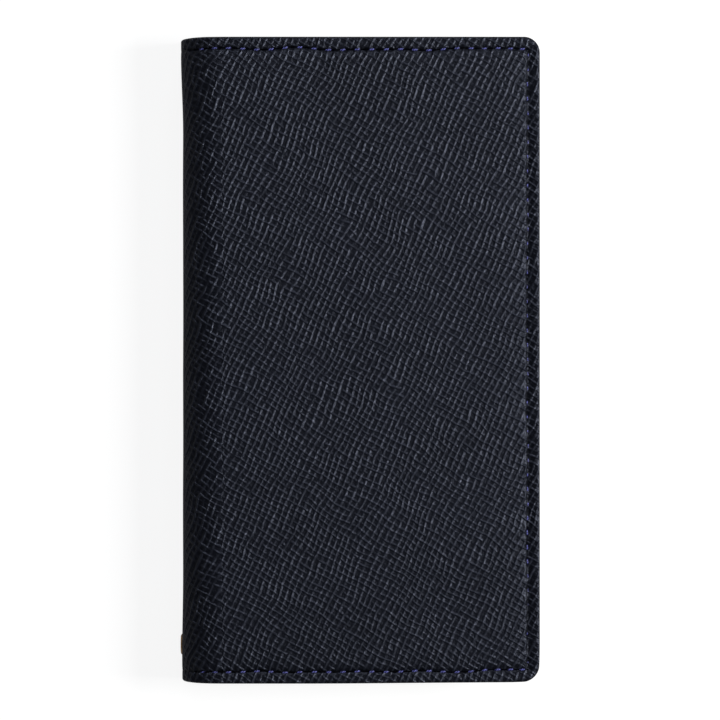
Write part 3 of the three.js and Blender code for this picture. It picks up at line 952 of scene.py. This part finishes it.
# %% Thread and needle holes
def thread_material():
    """Bonded polyester thread: a blue-violet dye, a twist about every half millimetre, a soft shine."""
    material, tree, shader = new_material("bonded_polyester_thread", 0.5, Sheen_Weight=0.15)
    slanted = node(tree, "ShaderNodeMapping", {"Vector": object_mm(tree),
                                               "Rotation": (0, 0, math.radians(40))})
    twist = node(tree, "ShaderNodeTexWave", {"Vector": slanted.outputs[0], "Scale": 0.7,
                                             "Distortion": 1.0, "Detail": 1.0})
    two_tone(tree, shader, twist.outputs["Fac"], "#1f2152", "#6c70c4")
    add_bump(tree, shader, twist.outputs["Fac"], 0.05 * mm)
    return material


stitch_thread = thread_material()
# painted shade: near black, with a trace of the hide's fibres, for the shadow in a needle hole and in the
# thread's crease
hole_shade_paint = speckled_material("needle_hole_shadow", "#030305", "#08080c", 0.3, 0.02 * mm, 1.0)
# a hole gives almost nothing back, so the painted shade's reflection is turned off
hole_shade_paint.node_tree.nodes["Principled BSDF"].inputs["Specular IOR Level"].default_value = 0.0


# %% [markdown]
# One node tree sews every seam. It takes the needle holes as a line of points, and for each
# stretch between two of them it sets down a stitch, turned along the stretch, and a dark strip of
# painted shade in the crease that the thread is pulled into. The sizes are inputs of the tree, so a
# seam can be changed in the modifier's panel.

# %% A stitch's sizes
stitch_sizes = {
    "Pitch": stitch_pitch,
    "Stitch length": 2.1 * mm,
    "Thread radius": 0.26 * mm,
    "Slant": 0.16 * mm,
    "Crest": 0.50 * mm,
    "Crest shift": 0.50 * mm,
    "Dive": 0.55 * mm,
    "Hole radius": 0.22 * mm,
    "Crease radius": 0.17 * mm,
}
# the second finish is the painted shade of the needle holes and of the thread's crease
stitch_finishes = {"Thread": stitch_thread, "Painted shade": hole_shade_paint}
print("stitch", {name: round(value / mm, 2) for name, value in stitch_sizes.items()})

# %% [markdown]
# Two steps come up more than once in the tree: a tube round a curve, and a shape set on points.

# %% Tubes, and shapes on points
def swept(tree, path, radius, sides):
    """A closed tube round a curve."""
    ring = node(tree, "GeometryNodeCurvePrimitiveCircle", {"Resolution": sides, "Radius": radius})
    return node(tree, "GeometryNodeCurveToMesh", {"Curve": path, "Profile Curve": ring.outputs[0],
                                                  "Fill Caps": True}).outputs[0]


def put(tree, points, shape, turn, finish, scale=(1.0, 1.0, 1.0)):
    """Stands a shape on every point, as real faces with a finish."""
    copies = node(tree, "GeometryNodeInstanceOnPoints", {"Points": points, "Instance": shape,
                                                         "Rotation": turn, "Scale": scale})
    real = node(tree, "GeometryNodeRealizeInstances", {0: copies.outputs[0]})
    return node(tree, "GeometryNodeSetMaterial", {"Geometry": real.outputs[0], "Material": finish}).outputs[0]


# %% [markdown]
# A stitch is turned by two rotations, one after the other: its X along the stretch, and then its Z
# as near to the leather's outward direction as that leaves free.

# %% The tree that sews a seam
def stitch_tree():
    """Needle holes in, stitches out: each edge of the input mesh becomes one stitch."""
    tree = bpy.data.node_groups.new("sew_seam", "GeometryNodeTree")
    panel = tree.interface
    panel.new_socket("Needle holes", in_out="INPUT", socket_type="NodeSocketGeometry")
    for label in stitch_sizes:
        panel.new_socket(label, in_out="INPUT", socket_type="NodeSocketFloat")
    for label in stitch_finishes:
        panel.new_socket(label, in_out="INPUT", socket_type="NodeSocketMaterial")
    panel.new_socket("Seam", in_out="OUTPUT", socket_type="NodeSocketGeometry")
    size = {socket.name: socket for socket in node(tree, "NodeGroupInput").outputs}

    # turn each stitch along its own stretch, with its top towards the leather's outside
    ends = node(tree, "GeometryNodeInputMeshEdgeVertices")
    run = node(tree, "ShaderNodeVectorMath", {0: ends.outputs["Position 2"], 1: ends.outputs["Position 1"]},
               operation="SUBTRACT")
    up = node(tree, "GeometryNodeInputNamedAttribute", {"Name": "up"}, data_type="FLOAT_VECTOR")
    along = node(tree, "FunctionNodeAlignRotationToVector", {"Vector": run.outputs[0]}, axis="X")
    facing = node(tree, "FunctionNodeAlignRotationToVector",
                  {"Rotation": along.outputs[0], "Vector": up.outputs[0]}, axis="Z", pivot_axis="X")
    kept = node(tree, "GeometryNodeCaptureAttribute", {"Geometry": size["Needle holes"]}, domain="EDGE")
    kept.capture_items.new("ROTATION", "Facing")
    tree.links.new(facing.outputs[0], kept.inputs["Facing"])
    centres = node(tree, "GeometryNodeMeshToPoints", {"Mesh": kept.outputs["Geometry"]}, mode="EDGES")

    # sizes that are halved or turned round
    part = {}
    for name, source, factor in (("half", "Stitch length", 0.5), ("minus half", "Stitch length", -0.5),
                                 ("lean", "Slant", -1.0), ("down", "Dive", -1.0),
                                 ("reach", "Pitch", 0.5), ("minus reach", "Pitch", -0.5)):
        part[name] = node(tree, "ShaderNodeMath", {0: size[source], 1: factor},
                          operation="MULTIPLY").outputs[0]

    # one stitch: an arch of thread that dives at both ends
    start = node(tree, "ShaderNodeCombineXYZ", {0: part["minus half"], 1: part["lean"], 2: part["down"]})
    middle = node(tree, "ShaderNodeCombineXYZ", {0: size["Crest shift"], 2: size["Crest"]})
    end = node(tree, "ShaderNodeCombineXYZ", {0: part["half"], 1: size["Slant"], 2: part["down"]})
    arch = node(tree, "GeometryNodeCurveQuadraticBezier", {
        "Resolution": 7, "Start": start.outputs[0], "Middle": middle.outputs[0], "End": end.outputs[0]})
    thread = swept(tree, arch.outputs[0], size["Thread radius"], sides=8)
    threads = put(tree, centres.outputs[0], thread, kept.outputs["Facing"], size["Thread"])

    # painted shade: a flat dark strip as long as the pitch, laid in the crease that the thread is pulled into
    strip_start = node(tree, "ShaderNodeCombineXYZ", {0: part["minus reach"]})
    strip_end = node(tree, "ShaderNodeCombineXYZ", {0: part["reach"]})
    line = node(tree, "GeometryNodeCurvePrimitiveLine", {"Start": strip_start.outputs[0],
                                                         "End": strip_end.outputs[0]})
    strip = swept(tree, line.outputs[0], size["Crease radius"], sides=6)
    crease_shadows = put(tree, centres.outputs[0], strip, kept.outputs["Facing"], size["Painted shade"], (1.0, 1.0, 0.40))

    # painted shade for one needle hole: a flat dark bead that sits level with the leather
    points = node(tree, "GeometryNodeMeshToPoints", {"Mesh": size["Needle holes"]}, mode="VERTICES")
    level = node(tree, "FunctionNodeAlignRotationToVector", {"Vector": up.outputs[0]}, axis="Z")
    pit = node(tree, "GeometryNodeMeshUVSphere", {"Segments": 8, "Rings": 5, "Radius": size["Hole radius"]})
    holes = put(tree, points.outputs[0], pit.outputs[0], level.outputs[0], size["Painted shade"], (1.0, 1.0, 0.45))

    seam = node(tree, "GeometryNodeJoinGeometry")
    for shapes in (threads, holes, crease_shadows):
        tree.links.new(shapes, seam.inputs[0])
    smooth = node(tree, "GeometryNodeSetShadeSmooth", {"Geometry": seam.outputs[0]})
    node(tree, "NodeGroupOutput", {0: smooth.outputs[0]})
    return tree


sew_seam = stitch_tree()


# %% [markdown]
# The needle holes go in as a mesh of points and edges, with the leather's outward direction stored
# on each point. The modifier is applied at once, so that the stitches become a plain mesh.

# %% Sew along the needle holes
def sew(name, runs):
    """Sews seams through runs of (point, up) needle holes and returns one plain mesh object."""
    vertices, edges, ups = [], [], []
    for run in runs:
        first = len(vertices)
        vertices += [point for point, _ in run]
        ups += [up for _, up in run]
        edges += [(first + k, first + k + 1) for k in range(len(run) - 1)]
    mesh = bpy.data.meshes.new(name)
    mesh.from_pydata([tuple(v) for v in settle(vertices)], edges, [])
    outward = mesh.attributes.new("up", "FLOAT_VECTOR", "POINT")
    outward.data.foreach_set("vector", np.array(ups, np.float32).ravel())
    made = bpy.data.objects.new(name, mesh)
    bpy.context.collection.objects.link(made)
    modifier = made.modifiers.new("sew", "NODES")
    modifier.node_group = sew_seam
    values = stitch_sizes | stitch_finishes
    for item in sew_seam.interface.items_tree:
        if item.name in values:
            modifier[item.identifier] = values[item.name]
    baked(made)
    print(name, len(edges), "stitches,", len(made.data.polygons), "faces")
    return made


# %% [markdown]
# The seam runs from the middle of the spine along the head, down the fore edge and back along the
# tail. On the spine and fold the thread follows the bend, so its points come from the same
# section as the leather. On the fore edge it is pulled deeper, and shows less. Inside, the same
# thread comes out on the lining and on whichever leaf lies lowest.

# %% Sew the outside
def stitch_places(length):
    """Where the needle goes down along a run: its stitches get a sixth shorter towards the two ends."""
    count = round(length / stitch_pitch) + 1
    from_end = np.minimum(np.arange(count), np.arange(count)[::-1])
    gaps = 1 - 0.2 * np.exp(-from_end / 3.0)
    return np.insert(np.cumsum(gaps), 0, 0.0) * length / gaps.sum()


# how far below the plain face the needle holes lie: the groove is deeper along the fore edge
thread_depth = 0.40 * mm
fore_thread_depth = 0.82 * mm


def outside_runs(fold):
    """The outer seam's needle holes: along the head, along the tail and down the fore edge."""
    rows, travel = section(fold, step=0.3 * mm)
    total = travel[-1] + corner_radius - seam_from_fore
    runs = []
    for side, seed in ((1, 1.0), (-1, 2.0)):
        run = []
        for distance in stitch_places(total):
            x, z, nx, nz = (float(np.interp(distance, travel, rows[:, k])) for k in range(4))
            x += max(0.0, distance - travel[-1])
            y = half_y - seam_from_end - seam_wander(x, seed)
            run.append(((x - nx * thread_depth, side * y, z - nz * thread_depth), (nx, 0.0, nz)))
        runs.append(run)
    reach = half_y - seam_from_end
    level = rows[-1, 1] - fold.up * fore_thread_depth
    fore_run = [((fore_x - seam_from_fore - fore_wander(y), y, level), (0.0, 0.0, fold.up))
                for y in np.linspace(-reach, reach, round(2 * reach / stitch_pitch) + 1)]
    return runs + [fore_run]


for name, fold, node_name in (("front_stitches", front, "front_stitch_thread"),
                              ("back_stitches", back, "back_stitch_thread")):
    stitches = sew(name, outside_runs(fold))
    bend(stitches)
    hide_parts(node_name)


# %% [markdown]
# On the inside the thread lies on the lining by the spine, and further out on whichever leaf is
# lowest there. On the back it goes under the moulded shell and ends there.

# %% Sew the inside
inner_sink = 0.08 * mm


def inside_runs(fold, depth, levels, stop_x):
    """The inner needle holes as far as stop_x. levels lists where each lower layer starts along X,
    and the height of its inner face."""
    rows, travel = section(fold, side_depth + lining_thickness, depth + lining_thickness, step=0.3 * mm)
    end_travel = float(np.interp(stop_x, rows[:, 0], travel))
    runs = []
    for side in (1, -1):
        run = []
        for distance in np.linspace(0, end_travel, round(end_travel / stitch_pitch) + 1):
            x, z, nx, nz = (float(np.interp(distance, travel, rows[:, k])) for k in range(4))
            for begin, low in levels:
                if x > begin:
                    z = low
            run.append(((x + nx * inner_sink, side * (half_y - seam_from_end), z + nz * inner_sink),
                        (-nx, 0.0, -nz)))
        runs.append(run)
    return runs


leaf_levels = []
for layer in ("bill_pocket_panel", "card_leaf_1", "card_leaf_2", "card_leaf_3"):
    layer_low, _ = places(layer)
    leaf_levels.append((layer_low[0], layer_low[2]))
inner_fore = [((fore_x - seam_from_fore, y, leaf_levels[-1][1] + inner_sink), (0.0, 0.0, -1.0))
              for y in np.linspace(seam_from_end - half_y, half_y - seam_from_end,
                                   round(2 * half_y / stitch_pitch))]
front_inner = sew("front_inner_stitches",
                  inside_runs(front, front_depth, leaf_levels, fore_x - corner_radius) + [inner_fore])
bend(front_inner)
back_inner = sew("back_inner_stitches", inside_runs(back, back_depth, [], shell_low[0] + 6 * mm))
bend(back_inner)


# %% [markdown]
# ## Card leaves, pocket panel and shell
# These are flat sheets and a moulding whose shapes the CAD already has right, but its edges are
# knife sharp. A copy of each mesh is merged, its coplanar triangles are joined, and a small bevel
# is run round its edges, which is what catches the light on a real cut edge or a moulded rim. The
# card leaves also get a crease pressed along their mouths, as leather workers do to firm an edge.

# %% Soften the edges of a CAD solid
def softened(node_name, name, material, width, segments=2, cutters=(), settled=True):
    """A copy of a CAD node with its edges rounded, which stands for that node."""
    made = bpy.data.objects.new(name, frame["nodes"][node_name].data.copy())
    bpy.context.collection.objects.link(made)
    work = bmesh.new()
    work.from_mesh(made.data)
    bmesh.ops.remove_doubles(work, verts=work.verts, dist=2e-6)
    bmesh.ops.dissolve_limit(work, angle_limit=math.radians(1.0), verts=work.verts, edges=work.edges)
    work.to_mesh(made.data)
    work.free()
    made.data.materials.clear()
    made.data.materials.append(material)
    if cutters:
        cut(made, *cutters)
    if settled:
        for vertex, moved in zip(made.data.vertices, settle([v.co for v in made.data.vertices])):
            vertex.co = moved
    made.data.shade_smooth()
    bevel = made.modifiers.new("soften", "BEVEL")
    bevel.width = width
    bevel.segments = segments
    bevel.limit_method = "ANGLE"
    bevel.angle_limit = math.radians(35)
    # weighting the normals by area keeps the broad faces flat beside their rounded edges
    made.modifiers.new("flat faces", "WEIGHTED_NORMAL")
    baked(made)
    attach(made, frame["nodes"][node_name]["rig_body"])
    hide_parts(node_name)
    print(name, len(made.data.polygons), "faces")
    return made


# %% [markdown]
# The crease is a real groove, cut by a thin rod that follows the leaf's mouth and the notch for
# the thumb. A line in the material would be cheaper, but it wouldn't catch the light.

# %% Leaves with creased mouths
crease_from_mouth = 1.5 * mm
crease_radius = 0.32 * mm
notch_depth, notch_half = 5.0 * mm, 10.0 * mm


def crease_cutter(mouth, low):
    """A thin rod along the mouth and round its thumb notch, half sunk in the leaf's inner face."""
    wide, tall = notch_depth + crease_from_mouth, notch_half + crease_from_mouth
    meet = math.asin(crease_from_mouth / wide)
    line_x = mouth + crease_from_mouth
    path = [(line_x, -half_y - mm), (line_x, -tall - mm)]
    path += [(mouth + wide * math.sin(t), -tall * math.cos(t))
             for t in np.linspace(meet, math.pi - meet, 25)]
    path += [(line_x, tall + mm), (line_x, half_y + mm)]
    path = np.array(path)
    heading = np.gradient(path, axis=0)
    heading /= np.linalg.norm(heading, axis=1)[:, None]
    rings = []
    for (x, y), (hx, hy) in zip(path, heading):
        rings.append([(x + hy * across, y - hx * across, low + above)
                      for across, above in circle(0.0, 0.0, crease_radius, count=8)])
    return loft("crease", rings, None)


for name in ("card_leaf_1", "card_leaf_2", "card_leaf_3"):
    leaf_low, _ = places(name)
    rod = crease_cutter(leaf_low[0], leaf_low[2])
    leaf = softened(name, name + "_leather", leaf_leather, 0.14 * mm, cutters=[rod])
    bpy.data.objects.remove(rod)
panel = softened("bill_pocket_panel", "bill_pocket_leather", leaf_leather, 0.14 * mm)

# %% [markdown]
# The shell is one moulding, with rims that are rounder than a cut edge. The foam lies under the
# front's leather. Both keep the CAD's shape.

# %% The shell and the foam
shell = softened("phone_shell", "moulded_phone_shell", urethane, 0.28 * mm, segments=3, settled=False)
pad = softened("front_padding", "front_foam_pad", foam, 0.22 * mm, segments=3, settled=False)

# %% [markdown]
# ## The camera window's edge
# Where the window goes through the back, the leather is turned in and its edge painted. A thin ring
# with a rounded section lines the opening, from the outside of the leather to the lining.

# %% Line the window
def window_ring():
    """A ring of paint round the opening. Its section is given as (outward, height) from the cut."""
    low, high = 0.12 * mm, back_lining_high[2] + 0.02 * mm
    wall = 0.35 * mm
    sunk = 0.25 * mm
    stations = [(0.0, low), (-wall * 0.7, low + 0.12 * mm), (-wall, low + 0.4 * mm),
                (-wall, high - 0.3 * mm), (-wall * 0.7, high - 0.06 * mm), (0.0, high),
                (sunk, high - 0.1 * mm), (sunk, low + 0.1 * mm)]
    outlines = [[(x, y, z) for x, y in window_outline(window_step + out, per_corner=12)]
                for out, z in stations]
    rings = [[outline[k] for outline in outlines] for k in range(len(outlines[0]))]
    made = loft("window_edge_paint", rings, edge_paint, closed=True)
    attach(made, "back_cover")


window_ring()


# %% [markdown]
# ## The eyelet
# A brass eyelet goes through the spine near its foot and takes a wrist strap. It is turned from
# its section: a rounded flange outside, the barrel, and the end rolled over a washer inside. A
# section spun round an axis is the natural way to make such a part, with the poles left out
# because the bore is open.

# %% Turn the eyelet and its washer
def turned(name, profile, material, count=48):
    """Spins a closed section of (radius, x) round the eyelet's axis."""
    rings = [[(x, eyelet_y + radius * math.cos(t), eyelet_z + radius * math.sin(t))
              for radius, x in profile]
             for t in np.linspace(0, 2 * math.pi, count, endpoint=False)]
    made = loft(name, rings, material, closed=True, smooth_angle=50)
    return made


def bow(centre_r, centre_x, radius, start, stop, count=7):
    """Part of a section: an arc about (centre_r, centre_x), from one angle to another."""
    return [(centre_r + radius * math.cos(t), centre_x + radius * math.sin(t))
            for t in np.radians(np.linspace(start, stop, count))]


def eyelet_section():
    """The eyelet's section as (radius, x): bore, rolled flange, barrel and the end rolled inside."""
    tip, end = eyelet_low[0], eyelet_high[0]
    bore, barrel, flange = 1.3 * mm, 1.7 * mm, 2.6 * mm
    under = spine_x - 0.05 * mm
    outer_roll, inner_roll, dome = 0.55 * mm, 0.33 * mm, 0.66 * mm
    points = bow(bore + outer_roll, tip + outer_roll, outer_roll, 180, 270)
    points += bow(flange - dome, tip + dome, dome, 270, 360, 9)
    points += [(flange - 0.04 * mm, under - 0.12 * mm), (flange - 0.2 * mm, under), (barrel, under)]
    points += bow(barrel + inner_roll - 0.05 * mm, end - inner_roll, inner_roll - 0.02 * mm, -120, 90, 9)
    points += [(bore + 0.15 * mm, end - 0.05 * mm), (bore, end - 0.2 * mm)]
    return points


eyelet = turned("brass_eyelet", eyelet_section(), brass)
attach(eyelet, "spine")
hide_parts("spine_eyelet")

washer_low, washer_high = places("eyelet_washer")
washer_radius = (washer_high[1] - washer_low[1]) / 2
soft = 0.12 * mm
washer = turned("brass_washer", bow(washer_radius - soft, washer_low[0] + soft, soft, -90, 0, 4)
                + bow(washer_radius - soft, washer_high[0] - soft, soft, 0, 90, 4)
                + bow(barrel_hole + soft, washer_high[0] - soft, soft, 90, 180, 4)
                + bow(barrel_hole + soft, washer_low[0] + soft, soft, 180, 270, 4), brass)
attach(washer, "spine")
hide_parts("eyelet_washer")

# %% [markdown]
# ## What is buried in the covers
# Each cover and the spine hold a stiffener of grey board. Its corner lies close under the worn one
# of the leather, so it is softened and settled like the rest. The tape, the magnets and their steel
# plates are right as the CAD has them, and only need their finishes. They show when the case is
# taken apart.

# %% Finish the buried parts
for name in ("front_board", "back_board", "spine_board"):
    board = softened(name, name + "_sheet", grey_board, 0.12 * mm)
buried = {
    tape: ["shell_adhesive"],
    zinc: ["shell_keeper_upper", "shell_keeper_lower"],
    nickel: ["front_magnet_upper", "front_magnet_lower"],
}
for finish, names in buried.items():
    for name in names:
        for slot in frame["nodes"][name].material_slots:
            slot.material = finish
print("buried parts", sum(len(names) for names in buried.values()))

# %% [markdown]
# Last, the cutters go.

# %% Remove the cutters
for cutter in (barrel_cutter, window_cutter):
    bpy.data.objects.remove(cutter)
